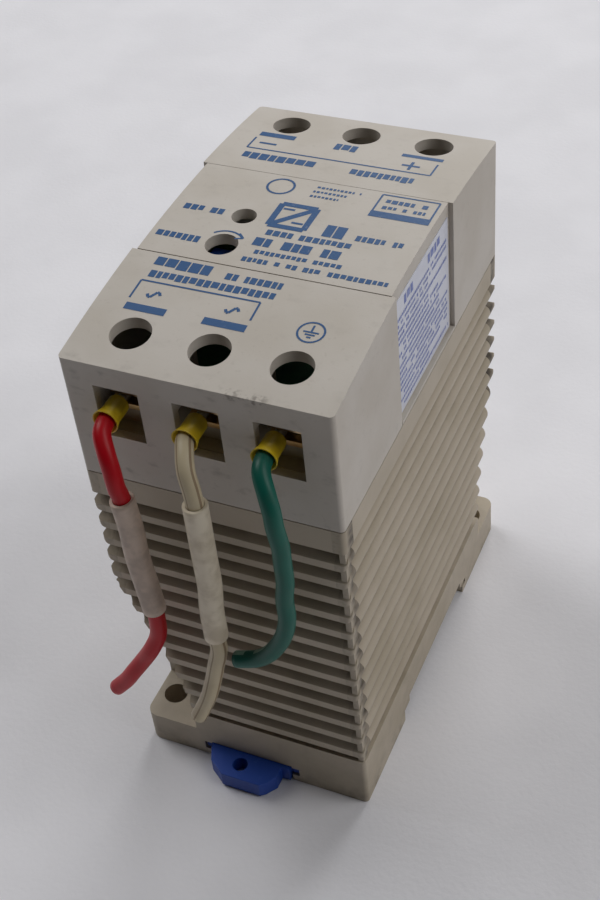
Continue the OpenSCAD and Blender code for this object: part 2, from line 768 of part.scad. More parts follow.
case_shell();
base_cover();
input_cover();
output_cover();
centre_panel();
side_label();
input_terminal_block();
output_terminal_block();
input_terminal_bars();
output_terminal_bars();
clamp_plate(1, input_axis_y, 7);  // input_clamp_1
clamp_plate(2, input_axis_y, 7);  // input_clamp_2
clamp_plate(3, input_axis_y, 7);  // input_clamp_3
terminal_screw(1, input_axis_y);  // input_screw_1
terminal_screw(2, input_axis_y);  // input_screw_2
terminal_screw(3, input_axis_y);  // input_screw_3
clamp_plate(1, output_axis_y, 5.8);  // output_clamp_1
clamp_plate(2, output_axis_y, 5.8);  // output_clamp_2
clamp_plate(3, output_axis_y, 5.8);  // output_clamp_3
terminal_screw(1, output_axis_y);  // output_screw_1
terminal_screw(2, output_axis_y);  // output_screw_2
terminal_screw(3, output_axis_y);  // output_screw_3
terminal_board();
main_board();
control_board();
status_led();
trimmer_body();
trimmer_rotor();
fuse();
line_capacitor();
line_choke();
bridge_rectifier();
bulk_capacitor();
inrush_thermistor();
surge_varistor();
switch_transistor();
output_diode();
heatsinks();
heatsink_screws();
transformer_core();
transformer_coil();
optocoupler();
control_chip();
output_capacitors();
output_inductor();
safety_capacitors();
rail_latch();
latch_spring();
ferrule(1);  // ferrule_1
ferrule(2);  // ferrule_2
ferrule(3);  // ferrule_3
ferrule_sleeves();
red_wire();
white_wire();
green_wire();
marker_tube_1();
marker_tube_2();
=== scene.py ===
import math
import random

import bmesh
import bpy
from mathutils import Matrix, Vector


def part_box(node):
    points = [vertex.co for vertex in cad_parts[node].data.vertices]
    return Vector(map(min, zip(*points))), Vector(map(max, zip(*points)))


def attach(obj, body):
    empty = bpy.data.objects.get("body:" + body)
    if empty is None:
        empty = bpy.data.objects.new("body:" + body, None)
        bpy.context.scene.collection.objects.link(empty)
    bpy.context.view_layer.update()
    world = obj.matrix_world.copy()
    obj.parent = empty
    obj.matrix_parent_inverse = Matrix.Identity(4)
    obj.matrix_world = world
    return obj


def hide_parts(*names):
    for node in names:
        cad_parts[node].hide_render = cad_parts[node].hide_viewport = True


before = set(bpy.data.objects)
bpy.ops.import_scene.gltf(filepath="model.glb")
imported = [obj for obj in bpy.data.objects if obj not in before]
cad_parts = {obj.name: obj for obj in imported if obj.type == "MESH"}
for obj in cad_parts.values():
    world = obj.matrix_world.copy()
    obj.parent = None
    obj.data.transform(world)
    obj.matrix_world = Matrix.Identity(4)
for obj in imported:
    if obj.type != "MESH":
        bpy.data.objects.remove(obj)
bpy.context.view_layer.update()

MM = 0.001


# ---- Camera ----
# It stands at the input end, to the right of the front face and above it, and leans a little.

camera_azimuth = math.radians(27.49)
camera_elevation = math.radians(42.95)
camera_roll = math.radians(-6.45)
camera_from_middle = Vector((-2.65, 0.91, 271.99)) * MM   # right, up and back from the housing's middle
housing_middle = Vector((0, 0, 47.5)) * MM

turn = (
    Matrix.Rotation(camera_azimuth, 4, "Z")
    @ Matrix.Rotation(math.radians(90) - camera_elevation, 4, "X")
    @ Matrix.Rotation(camera_roll, 4, "Z")
)
camera = bpy.data.objects.new("camera", bpy.data.cameras.new("camera"))
camera.data.lens = 59.4
camera.data.sensor_width = 36
camera.data.clip_start = 0.01
camera.matrix_world = Matrix.Translation(housing_middle) @ turn @ Matrix.Translation(camera_from_middle)
bpy.context.collection.objects.link(camera)
bpy.context.scene.camera = camera
bpy.context.scene.view_settings.view_transform = "Standard"


# ---- Table top ----
# A pale sheet of soft board that the supply stands on. Its face is faintly clouded and grained.

class Signal:
    """One output of a shader node. Sums and products of signals add Math nodes to the same finish."""

    def __init__(self, finish, socket):
        self.finish = finish
        self.socket = socket

    def math(self, operation, *values):
        return self.finish.node("Math", {"operation": operation}, dict(enumerate(values)))

    def __add__(self, other):
        return self.math("ADD", self, other)

    def __radd__(self, other):
        return self.math("ADD", other, self)

    def __sub__(self, other):
        return self.math("SUBTRACT", self, other)

    def __rsub__(self, other):
        return self.math("SUBTRACT", other, self)

    def __mul__(self, other):
        return self.math("MULTIPLY", self, other)

    def __rmul__(self, other):
        return self.math("MULTIPLY", other, self)

    def __truediv__(self, other):
        return self.math("DIVIDE", self, other)

    def __abs__(self):
        return self.math("ABSOLUTE", self)

    def __gt__(self, other):
        return self.math("GREATER_THAN", self, other)

    def __lt__(self, other):
        return self.math("LESS_THAN", self, other)

    def ramp(self, start, end):
        """0 below start, 1 above end, and smooth between them."""
        return self.finish.node(
            "MapRange", {"interpolation_type": "SMOOTHSTEP"}, {0: self, 1: start, 2: end, 3: 0.0, 4: 1.0}
        )


class Finish:
    """A material in the making: a Principled shader, and the method that adds any other node."""

    def __init__(self, name, **constants):
        self.material = bpy.data.materials.new(name)
        self.material.use_nodes = True
        self.tree = self.material.node_tree
        self.shader = self.tree.nodes["Principled BSDF"]
        for socket, value in constants.items():
            self.shader.inputs[socket.replace("_", " ").title().replace("Ior", "IOR")].default_value = value

    def node(self, kind, settings=None, sockets=None, output=0):
        made = self.tree.nodes.new("ShaderNode" + kind)
        for name, value in (settings or {}).items():
            setattr(made, name, value)
        for name, value in (sockets or {}).items():
            if isinstance(value, Signal):
                self.tree.links.new(value.socket, made.inputs[name])
            else:
                made.inputs[name].default_value = value
        return Signal(self, made.outputs[output])

    def place(self):
        """Object coordinates, in metres."""
        return self.node("TexCoord", output="Object")

    def axes(self):
        """The three Object coordinates, in millimetres."""
        split = self.node("SeparateXYZ", sockets={0: self.place()})
        return [Signal(self, out) * 1000.0 for out in split.socket.node.outputs]

    def noise(self, size_mm, detail=2.0, stretch=(1, 1, 1)):
        """Cloudy noise whose blotches are about size_mm across."""
        mapped = self.node("Mapping", sockets={"Vector": self.place(), "Scale": Vector(stretch)})
        return self.node("TexNoise", sockets={"Vector": mapped, "Scale": 1000.0 / size_mm, "Detail": detail})

    def mix(self, factor, first, second):
        """From the first colour to the second one."""
        return self.node("Mix", {"data_type": "RGBA"}, {0: factor, 6: first, 7: second}, output=2)

    def colour(self, signal):
        self.tree.links.new(signal.socket, self.shader.inputs["Base Color"])
        return self

    def roughness(self, signal):
        self.tree.links.new(signal.socket, self.shader.inputs["Roughness"])
        return self

    def bump(self, height, depth_mm, strength=1.0):
        """Raises and lowers the surface by up to depth_mm."""
        normal = self.node(
            "Bump", sockets={"Strength": strength, "Distance": depth_mm * MM, "Height": height}
        )
        self.tree.links.new(normal.socket, self.shader.inputs["Normal"])
        return self


def rgb(red, green, blue):
    """A colour given in display values from 0 to 255, as the shader's linear values."""
    linear = [c / 255 / 12.92 if c < 11 else ((c / 255 + 0.055) / 1.055) ** 2.4 for c in (red, green, blue)]
    return (*linear, 1.0)


def object_of(name, shape, *materials):
    """An object at the origin from a bmesh, which is freed."""
    mesh = bpy.data.meshes.new(name)
    shape.to_mesh(mesh)
    shape.free()
    for material in materials:
        mesh.materials.append(material)
    made = bpy.data.objects.new(name, mesh)
    bpy.context.collection.objects.link(made)
    return made


table_reach = 1.2
table_finish = Finish("table_board", roughness=0.75)
clouds = table_finish.noise(26, 3.0).ramp(0.3, 0.7)
fibres = table_finish.noise(1.1, 4.0)
table_finish.colour(table_finish.mix(clouds, rgb(230, 229, 233), rgb(236, 235, 239)))
table_finish.bump(fibres, 0.12, 0.5)
shape = bmesh.new()
bmesh.ops.create_grid(shape, x_segments=1, y_segments=1, size=table_reach)
bmesh.ops.translate(shape, verts=shape.verts, vec=(0, 0, -0.05 * MM))
object_of("table_top", shape, table_finish.material)


# ---- Studio light ----
# Four broad soft lights: one behind the supply, one on its left, two on its right. The room is dim.

def soft_light(name, at, towards, size, power):
    lamp = bpy.data.lights.new(name, "AREA")
    lamp.shape = "DISK"
    lamp.size = size
    lamp.energy = power
    made = bpy.data.objects.new(name, lamp)
    aim = (Vector(towards) - Vector(at)).to_track_quat("-Z", "Y")
    made.matrix_world = Matrix.Translation(at) @ aim.to_matrix().to_4x4()
    bpy.context.collection.objects.link(made)


lamp_reach, lamp_width = 1.6, 1.0        # metres
lamp_aim, lamp_centre = (0, 0, 0.04), Vector((0, 0, 0.05))
lamp_places = (            # azimuth from the input end towards the right side, elevation, watts
    ("back_light", 180, 32, 11.6),
    ("left_light", 254, 50, 9.5),
    ("right_light", 104, 50, 6.2),
    ("low_right_light", 98, 22, 3.2),
)
for lamp_name, azimuth, elevation, watts in lamp_places:
    across, high = math.radians(azimuth), math.radians(elevation)
    at = Vector((math.sin(across) * math.cos(high), -math.cos(across) * math.cos(high), math.sin(high)))
    soft_light(lamp_name, at * lamp_reach + lamp_centre, lamp_aim, lamp_width, watts)
room = bpy.data.worlds.new("room")
room.use_nodes = True
room.node_tree.nodes["Background"].inputs["Color"].default_value = rgb(232, 233, 240)
room.node_tree.nodes["Background"].inputs["Strength"].default_value = 0.02
bpy.context.scene.world = room


# ---- Base cover ----
# The rear cover, moulded in a warm grey plastic that has yellowed. It carries the rail channel, the
# latch's guides and two screw flanges at opposite corners. Its edges are slightly round.

half_width, half_length = 22.5, 37.5      # the housing's half sizes, in mm
merge_distance = 0.002 * MM
flat_angle = math.radians(0.6)            # faces that turn by less than this are merged
large_face_weight = 90                    # how far large faces lead the shading at an edge


def moulded(name, clean, shaded, rough=0.5, grain=0.02, dirt_and_shade=None):
    """Moulded plastic: faintly blotched, finely grained. The last argument is a function that gives a 0 to 1
    mask towards a dark brown, for real dirt, for painted shade in recesses and for darkening towards the
    bottom.
    """
    finish = Finish(name)
    blotches = finish.noise(14, 3.0).ramp(0.35, 0.7)
    specks = finish.noise(0.9, 2.0).ramp(0.62, 0.75)
    colour = finish.mix(blotches, clean, shaded)
    dust = rgb(128, 116, 98)
    colour = finish.mix(specks * 0.10, colour, dust)
    if dirt_and_shade:
        # Darkens towards a dark brown: real dirt and scuffs, and painted shade where the mask follows
        # recesses.
        colour = finish.mix(dirt_and_shade(finish), colour, rgb(70, 60, 48))
    finish.colour(colour)
    fine = finish.noise(0.35, 3.0)
    finish.roughness(rough + 0.12 * finish.noise(5, 2.0))
    finish.bump(fine, grain, 0.6)
    return finish.material


def softened(node, edge, material, body="housing", sharp_angle=28, segments=2):
    """A copy of a CAD piece whose hard edges are rounded by edge mm, as a mould leaves them."""
    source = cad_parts[node]
    shape = bmesh.new()
    shape.from_mesh(source.data)
    shape.transform(source.matrix_world)
    bmesh.ops.remove_doubles(shape, verts=shape.verts, dist=merge_distance)
    bmesh.ops.dissolve_limit(
        shape, angle_limit=flat_angle, verts=shape.verts, edges=shape.edges,
        use_dissolve_boundaries=False,
    )
    hard = [e for e in shape.edges if e.is_manifold and e.calc_face_angle(0) > math.radians(sharp_angle)]
    bmesh.ops.bevel(
        shape, geom=hard, offset=edge * MM, offset_type="OFFSET", affect="EDGES",
        segments=segments, profile=0.5, material=-1, clamp_overlap=True,
    )
    for face in shape.faces:
        face.smooth = True
    made = object_of(node + "_body", shape, material)
    weigh = made.modifiers.new("even_shading", "WEIGHTED_NORMAL")
    weigh.weight = large_face_weight
    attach(made, body)
    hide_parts(node)
    return made


# Dark blotches over the base, denser in its lowest 5 mm: the colour is darker towards the bottom.
def base_low_darkening(finish):
    _, _, z = finish.axes()
    low = 1.0 - z.ramp(0.0, 5.0)
    return finish.noise(3.0, 3.0).ramp(0.4, 0.75) * (0.12 + 0.25 * low)


case_clean, case_shaded = rgb(184, 172, 154), rgb(172, 160, 140)
base_plastic = moulded("base_plastic", case_clean, case_shaded, dirt_and_shade=base_low_darkening)
softened("base_cover", 0.3, base_plastic)


# ---- Case ----
# The louvred case, moulded in one piece and open at the front and the rear. Its colour is darkened
# between its fins and in the grooves of its sides: partly settled dust, partly painted shade in these
# recesses.

def case_dust_and_recess_shade(finish):
    x, y, _ = finish.axes()
    # Painted shade: the deeper a point lies in the fin slots of the ends and in the grooves of the sides,
    # the darker it is. Streak and speck noise adds dust.
    slot_shade = (half_length - abs(y)).ramp(0.1, 2.2) * (1.0 - (abs(y) < half_length - 3.2))
    groove_shade = (half_width - abs(x)).ramp(0.3, 1.2) * (1.0 - (abs(x) < half_width - 2.2))
    streaks = finish.noise(4.5, 3.0, stretch=(1, 1, 3)).ramp(0.35, 0.72)
    fine = finish.noise(0.8, 3.0).ramp(0.4, 0.75)
    return slot_shade * (0.5 + 0.5 * streaks) + groove_shade * (0.1 + 0.16 * fine)


case_plastic = moulded("case_plastic", case_clean, case_shaded, dirt_and_shade=case_dust_and_recess_shade)
softened("case_shell", 0.1, case_plastic, segments=1)


# ---- Front covers ----
# Two terminal covers and the centre panel between them, moulded in a slightly lighter plastic. The
# front is a shallow arch. Its ends are scuffed where fingers and tools rub.

cover_edge_y = 35.6
smudge_x = 8.5


def cover_grime(finish):
    x, y, z = finish.axes()
    edge = abs(y).ramp(cover_edge_y, half_length)
    scuffs = finish.noise(2.2, 4.0, stretch=(0.6, 1, 1)).ramp(0.55, 0.8)
    smudge = (1.0 - abs(x - smudge_x).ramp(2.5, 4.5)) * (0 - y).ramp(35.9, 36.7) * (z > 94.0)
    return scuffs * (0.08 + 0.25 * edge) + 0.5 * smudge * finish.noise(0.9, 3.0).ramp(0.45, 0.65)


cover_clean, cover_shaded = rgb(198, 191, 182), rgb(190, 182, 171)
cover_plastic = moulded("cover_plastic", cover_clean, cover_shaded, rough=0.55, dirt_and_shade=cover_grime)
for cover in ("input_cover", "output_cover", "centre_panel"):
    softened(cover, 0.35, cover_plastic)


# ---- Terminals ----
# Moulded blocks with plated bars, square clamp plates and cross-head screws. Each screw and each
# clamp plate moves on its own body.

def finished(name, first, second, patch=4.0, rough=0.4, wear=0.1, grain=0.0, **constants):
    """A surface whose colour and roughness drift between two tones in patches of patch mm."""
    finish = Finish(name, **constants)
    patches = finish.noise(patch, 3.0)
    finish.colour(finish.mix(patches.ramp(0.3, 0.7), first, second))
    finish.roughness(rough + wear * finish.noise(patch / 4, 3.0))
    if grain:
        finish.bump(finish.noise(0.3, 3.0), grain, 0.5)
    return finish.material


block_plastic = finished("block_plastic", rgb(176, 166, 146), rgb(160, 148, 128), rough=0.5, grain=0.01)
plated_brass = finished("plated_brass", rgb(206, 176, 126), rgb(178, 140, 92), rough=0.25, metallic=1.0)
clamp_metal = finished("clamp_metal", rgb(214, 190, 152), rgb(186, 152, 116), rough=0.25, metallic=1.0)
screw_steel = finished("screw_steel", rgb(202, 200, 194), rgb(172, 168, 160), 1.5, 0.28, metallic=1.0)
for row in ("input", "output"):
    softened(row + "_terminal_block", 0.15, block_plastic)
    softened(row + "_terminal_bars", 0.08, plated_brass)
    for number in "123":
        clamp, screw = row + "_clamp_" + number, row + "_screw_" + number
        softened(clamp, 0.12, clamp_metal, body=clamp)
        softened(screw, 0.06, screw_steel, body=screw)


# ---- Control board ----
# The status light and the trimmer stand under their holes in the centre panel.

board_green = finished("board_green", rgb(32, 92, 56), rgb(24, 74, 46), 3.0, 0.3, grain=0.01)
led_green = finished("led_green", rgb(44, 116, 82), rgb(36, 98, 70), 1.5, 0.15, coat_weight=0.5)
trimmer_blue = finished("trimmer_blue", rgb(40, 84, 170), rgb(32, 70, 150), 2.0, 0.35)
rotor_white = finished("rotor_white", rgb(226, 220, 204), rgb(212, 204, 186), 1.0, 0.45)
softened("status_led", 0.08, led_green, sharp_angle=40)
softened("trimmer_body", 0.12, trimmer_blue)
softened("trimmer_rotor", 0.06, rotor_white, body="trimmer")


# ---- Inside ----
# What stands on the boards keeps its CAD shape and gets its own finish: ceramic, dipped discs, film,
# ferrite, tape, moulded packages, cans and aluminium.

def paint(material, *nodes):
    for node in nodes:
        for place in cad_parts[node].material_slots:
            place.material = material


paint(board_green, "terminal_board", "main_board", "control_board")
paint(screw_steel, "heatsink_screws")
paint(finished("ceramic_white", rgb(224, 220, 208), rgb(210, 204, 190), rough=0.3), "fuse")
paint(finished("film_yellow", rgb(222, 168, 40), rgb(206, 150, 32), rough=0.3), "line_capacitor")
paint(finished("disc_green", rgb(74, 90, 70), rgb(58, 74, 56), 2.0, 0.3, grain=0.02), "inrush_thermistor")
paint(
    finished("disc_blue", rgb(58, 104, 184), rgb(44, 88, 166), 2.0, 0.25, grain=0.02),
    "surge_varistor", "safety_capacitors",
)
paint(
    finished("ferrite_dark", rgb(62, 62, 66), rgb(48, 48, 52), 1.0, 0.6, grain=0.02),
    "line_choke", "transformer_core",
)
paint(
    finished("epoxy_black", rgb(44, 44, 46), rgb(34, 34, 36), 2.0, 0.5, grain=0.01),
    "bridge_rectifier", "switch_transistor", "output_diode", "control_chip",
)
paint(
    finished("can_sleeve", rgb(44, 56, 84), rgb(34, 44, 70), rough=0.3),
    "bulk_capacitor", "output_capacitors",
)
paint(
    finished("heatsink_alu", rgb(198, 200, 202), rgb(176, 178, 182), 2.0, 0.35, metallic=1.0),
    "heatsinks",
)
paint(finished("coil_tape", rgb(222, 200, 76), rgb(206, 182, 62), 2.5, 0.4), "transformer_coil")
paint(
    finished("coil_copper", rgb(150, 84, 48), rgb(122, 62, 34), 0.8, 0.3, coat_weight=0.4),
    "output_inductor",
)
paint(finished("chip_white", rgb(226, 222, 214), rgb(214, 208, 198), 2.0, 0.45), "optocoupler")


# ---- Rail latch ----
# The blue sliding latch in the rear cover, with its coil spring. Its blue is lighter in rubbed patches.

latch_finish = Finish("latch_blue")
rubbed = latch_finish.noise(1.6, 4.0).ramp(0.58, 0.78)
latch_finish.colour(latch_finish.mix(rubbed * 0.35, rgb(18, 66, 158), rgb(70, 104, 176)))
latch_finish.roughness(0.42 + 0.15 * latch_finish.noise(2.5, 2.0))
latch_finish.bump(latch_finish.noise(0.4, 3.0), 0.015, 0.5)
softened("rail_latch", 0.25, latch_finish.material, body="latch")
paint(
    finished("spring_steel", rgb(200, 202, 204), rgb(180, 182, 186), 1.0, 0.3, metallic=1.0),
    "latch_spring",
)


# ---- Printing on the front ----
# Blue ink laid on the arch: bars and brackets at the terminals, plain strokes where words stand, and
# generic signs. None of it can be read as a word.

arch_rise, arch_ends = 2.8, 95.0
side_recess, film_thickness = 0.8, 0.12
arch_radius = (half_length**2 + arch_rise**2) / (2 * arch_rise)
ink_lift = 0.03
rng = random.Random(354)


def front_point(x, y):
    """The point of the arched front over x and y, in mm, lifted by the ink's thickness."""
    drop = arch_radius - math.sqrt(arch_radius**2 - y * y)
    return Vector((x, y, arch_ends + arch_rise - drop + ink_lift)) * MM


def side_point(y, z):
    """The point of the side label at y and z, in mm."""
    return Vector((half_width - side_recess + film_thickness + 0.02, y, z)) * MM


def block(shape, low, high, put, slant=0.0, step=1.6):
    """A filled rectangle from low to high, cut into steps along its second axis."""
    rows = max(1, math.ceil((high[1] - low[1]) / step))
    grid = bmesh.ops.create_grid(shape, x_segments=1, y_segments=rows, size=0.5)["verts"]
    for v in grid:
        first = low[0] + (v.co.x + 0.5) * (high[0] - low[0])
        second = low[1] + (v.co.y + 0.5) * (high[1] - low[1])
        v.co = put(first, second + slant * (first - low[0]))


def stroke(shape, start, end, width, put):
    """A straight stroke from start to end."""
    way = Vector(end) - Vector(start)
    side = Vector((-way.y, way.x)).normalized() * width / 2
    for v in bmesh.ops.create_grid(shape, x_segments=1, y_segments=1, size=0.5)["verts"]:
        at = Vector(start) + way * (v.co.x + 0.5) + side * (2 * v.co.y)
        v.co = put(at.x, at.y)


def stroke_line(shape, points, width, put):
    for start, end in zip(points, points[1:]):
        stroke(shape, start, end, width, put)


def arc(centre, radius, first, last, steps=24):
    angles = [math.radians(first + (last - first) * k / steps) for k in range(steps + 1)]
    return [(centre[0] + radius * math.cos(a), centre[1] + radius * math.sin(a)) for a in angles]


def greeked(shape, low, high, put, letter=0.8, space=0.22, weight=0.72):
    """Strokes of letter size with gaps between them, standing in for a printed word."""
    at = low[0]
    while at < high[0] - letter * 0.5:
        wide = min(letter * rng.uniform(0.7, 1.15), high[0] - at)
        if high[0] - low[0] < 6 * letter or rng.random() > 0.12:
            bottom = low[1] + (high[1] - low[1]) * (1 - weight) * rng.choice((0, 0, 0.5))
            block(shape, (at, bottom), (at + wide, high[1]), put)
        at += wide + space


shape = bmesh.new()
for low, high in (
    ((-17.5, 26.1), (-10.8, 27.6)), ((9.0, 26.5), (16.4, 27.5)),
    ((-17.3, -25.5), (-10.3, -24.0)), ((-4.0, -25.4), (3.2, -23.9)),
):
    block(shape, low, high, front_point)
rule = 0.34
stroke_line(shape, ((-17.6, 25.3), (-17.6, 21.4), (16.0, 21.4), (16.0, 25.4)), rule, front_point)
stroke_line(shape, ((-17.4, -23.0), (-17.4, -18.8), (3.0, -18.7), (3.1, -22.8)), rule, front_point)
stroke_line(shape, ((10.8, 6.9), (10.8, 13.3), (20.7, 13.3), (20.7, 6.9)), rule, front_point)
block(shape, (10.6, 6.6), (20.9, 8.3), front_point)
words = (     # low and high corner, letter width
    ((-3.1, 25.2), (1.7, 27.4), 1.4), ((-17.2, 17.8), (-3.7, 19.9), 1.5),
    ((1.5, 17.7), (15.5, 19.6), 1.0),
    ((-0.4, 11.9), (7.4, 12.5), 0.5), ((-0.6, 10.5), (5.6, 11.1), 0.5), ((-0.6, 9.1), (4.4, 9.7), 0.5),
    ((12.0, 10.9), (19.4, 12.0), 0.9), ((12.0, 9.1), (19.4, 10.0), 0.7),
    ((5.6, -0.9), (9.6, 2.3), 1.5), ((11.2, -0.6), (19.5, 0.8), 0.9),
    ((-4.2, -3.0), (11.4, -1.6), 1.0), ((-4.2, -6.1), (11.0, -4.0), 1.5),
    ((-4.1, -8.1), (12.2, -7.1), 0.8), ((-4.2, -10.3), (20.5, -9.2), 0.8),
    ((-20.8, 0.1), (-12.3, 1.6), 1.0), ((-20.6, -8.0), (-12.9, -6.4), 1.1),
    ((-17.3, -15.2), (-6.8, -12.9), 1.8), ((-4.8, -15.2), (4.8, -13.7), 1.0),
    ((-16.9, -17.8), (4.6, -16.2), 1.1),
)
for low, high, letter in words:
    greeked(shape, low, high, front_point, letter)
converter = ((-3.9, -0.3), (2.3, -0.3), (2.3, 5.9), (-3.9, 5.9), (-3.9, -0.3), (2.3, 5.9))
stroke_line(shape, converter, 1.1, front_point)
stroke_line(shape, ((-3.2, 4.6), (-1.2, 4.6)), 0.5, front_point)
stroke_line(shape, ((-0.4, 1.2), (1.6, 1.2)), 0.5, front_point)
stroke_line(shape, arc((-6.4, 10.7), 2.3, 0, 360), 0.42, front_point)
wave_steps = (-2, -1.3, -0.7, 0, 0.7, 1.3, 2)
for centre in ((-13.9, -21.5), (-0.5, -21.5)):
    wave = [
        (centre[0] + t * 0.55, centre[1] + 0.7 * math.sin(t * math.pi / 2)) for t in wave_steps
    ]
    stroke_line(shape, wave, 0.5, front_point)
stroke(shape, (-16.2, 23.6), (-13.0, 23.6), 0.55, front_point)
stroke(shape, (10.2, 23.6), (13.4, 23.6), 0.55, front_point)
stroke(shape, (11.8, 22.2), (11.8, 25.0), 0.55, front_point)
earth = (13.0, -22.7)
stroke_line(shape, arc(earth, 2.1, 0, 360), 0.34, front_point)
stroke(shape, (earth[0], earth[1] + 1.5), (earth[0], earth[1]), 0.32, front_point)
for half, down in ((1.25, 0.0), (0.8, 0.55), (0.35, 1.1)):
    stroke(shape, (earth[0] - half, earth[1] - down), (earth[0] + half, earth[1] - down), 0.32, front_point)
trimmer_at = (-8.9, -7.3)
stroke_line(shape, arc(trimmer_at, 3.5, 40, 135, 10), 0.34, front_point)
stroke_line(shape, ((-7.2, -3.9), (-6.1, -5.0), (-7.5, -5.4)), 0.34, front_point)
ink_finish = Finish("blue_ink")
worn = ink_finish.noise(0.7, 4.0).ramp(0.62, 0.8)
ink_finish.colour(ink_finish.mix(worn * 0.4, rgb(22, 78, 130), rgb(150, 154, 164)))
ink_finish.roughness(0.5 + 0.1 * worn)
printing = object_of("front_printing", shape, ink_finish.material)
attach(printing, "housing")


# ---- Side label ----
# A pale film in the recess of the right side, filled with rows of fine blue print.

film_finish = Finish("label_film")
clouded = film_finish.noise(9, 3.0).ramp(0.35, 0.7)
film_finish.colour(film_finish.mix(clouded, rgb(214, 216, 226), rgb(206, 208, 220)))
film_finish.roughness(0.4 + 0.1 * film_finish.noise(3, 2.0))
paint(film_finish.material, "side_label")
label_low, label_high = (Vector(c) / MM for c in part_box("side_label"))
margin = 0.9
shape = bmesh.new()
row_top = label_high.z - margin
greeked(shape, (label_low.y + 4.0, row_top - 1.7), (label_high.y - 4.0, row_top), side_point, 1.3, 0.35)
row_top -= 2.6
row_high, row_pitch = 0.62, 1.16
while row_top - row_high > label_low.z + margin:
    indent = rng.choice((0, 0, 0, 1.2))
    short = rng.choice((0, 0, 0, 4.0, 9.0))
    greeked(
        shape, (label_low.y + margin + indent, row_top - row_high),
        (label_high.y - margin - short, row_top), side_point, 0.5, 0.16,
    )
    row_top -= row_pitch
pale_ink = Finish("pale_ink")
faded = pale_ink.noise(1.2, 3.0).ramp(0.4, 0.7)
pale_ink.colour(pale_ink.mix(faded, rgb(96, 112, 178), rgb(140, 150, 196)))
pale_ink.roughness(0.5 + 0.1 * faded)
label_print = object_of("label_printing", shape, pale_ink.material)
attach(label_print, "housing")


# ---- Conductors ----
# Three short lengths of stranded wire, cut off at their lower ends. Each turns down from its ferrule
# and hangs beside the case. The routes are those of the CAD, in millimetres.

wire_diameter = 2.9
route_steps = 5           # pieces of the smooth curve between two of a route's points
routes = {
    "red": [
        (-15, -36, 85.5), (-15, -39, 85.5), (-14.5, -41.5, 85), (-13, -43.5, 83), (-12, -44.5, 80.5),
        (-11.5, -45, 78), (-11, -45, 75.5), (-10.5, -45, 69.5), (-10.5, -45, 63), (-10, -45, 57),
        (-9.5, -45, 50.5), (-9.5, -45, 47), (-10, -45, 43.5), (-11.5, -45.5, 40), (-13.5, -45.5, 36.5),
        (-16, -46, 32.6), (-18, -46, 29.4), (-20.5, -46, 26.2),
    ],
    "white": [
        (-1.5, -36, 85.5), (-1.5, -39, 85.5), (-0.5, -41.5, 85), (0.5, -43.5, 83.5), (1.5, -44.5, 81),
        (2, -45, 78.5), (2, -45, 73), (2, -45, 67), (2, -45, 60.5), (1.5, -45, 54), (1.5, -45, 48),
        (1.5, -45, 44.5), (0.5, -45, 40.5), (-0.5, -45, 36.5), (-1.5, -45.5, 32.5), (-3, -45.5, 28.5),
        (-4.5, -46, 25),
    ],
    "green": [
        (11.5, -36, 85.5), (11.5, -39, 85.5), (12, -41.5, 85), (13.5, -43.5, 83), (14.5, -44.5, 80.5),
        (15, -45, 77.5), (15.5, -45, 74), (15.5, -45, 70), (15.5, -45, 66), (15, -45, 62),
        (15, -45, 57.5), (14, -45, 53), (12, -45, 48.8), (9.8, -45, 46), (7.5, -45, 44.4),
        (4.6, -45, 43.2),
    ],
}


def smooth_route(points):
    """A smooth curve through all the points, in metres."""
    points = [Vector(p) * MM for p in points]
    ends = [2 * points[0] - points[1]] + points + [2 * points[-1] - points[-2]]
    path = []
    for a, b, c, d in zip(ends, ends[1:], ends[2:], ends[3:]):
        for t in (k / route_steps for k in range(route_steps)):
            path.append(0.5 * (2 * b + (c - a) * t + (2 * a - 5 * b + 4 * c - d) * t**2
                               + (3 * b - a - 3 * c + d) * t**3))
    return path + [points[-1]]


def swept(path, radii, sides=24):
    """A round tube along path with a radius, in mm, at each point. The vector attribute "along" keeps
    each vertex's turn round the tube and its distance from the start, in mm."""
    shape = bmesh.new()
    along = shape.verts.layers.float_vector.new("along")
    ring = bmesh.ops.create_circle(shape, segments=sides, radius=1.0)["verts"]
    forward = next((b - a).normalized() for a, b in zip(path, path[1:]) if (b - a).length > 0)
    across = forward.orthogonal().normalized()
    up = forward.cross(across)
    turns = {v: (v.co.x, v.co.y) for v in ring}
    travelled = 0.0
    for i, (point, radius) in enumerate(zip(path, radii)):
        if i:
            travelled += (point - path[i - 1]).length / MM
            inside = set(ring)
            edges = [e for e in {e for v in ring for e in v.link_edges} if set(e.verts) <= inside]
            old_middle, old_radius = path[i - 1], radii[i - 1] * MM
            made = bmesh.ops.extrude_edge_only(shape, edges=edges)["geom"]
            ring = [g for g in made if isinstance(g, bmesh.types.BMVert)]
            turns = {
                v: ((v.co - old_middle).dot(across) / old_radius, (v.co - old_middle).dot(up) / old_radius)
                for v in ring
            }
            way = path[min(i + 1, len(path) - 1)] - path[i - 1]
            if way.length > 0:
                way.normalize()
                bend = forward.rotation_difference(way)
                forward, across, up = way, bend @ across, bend @ up
        for v in ring:
            v.co = point + (across * turns[v][0] + up * turns[v][1]) * radius * MM
            v[along] = (turns[v][0], turns[v][1], travelled)
    return shape, ring, forward


def path_length(path):
    return sum((b - a).length for a, b in zip(path, path[1:]))


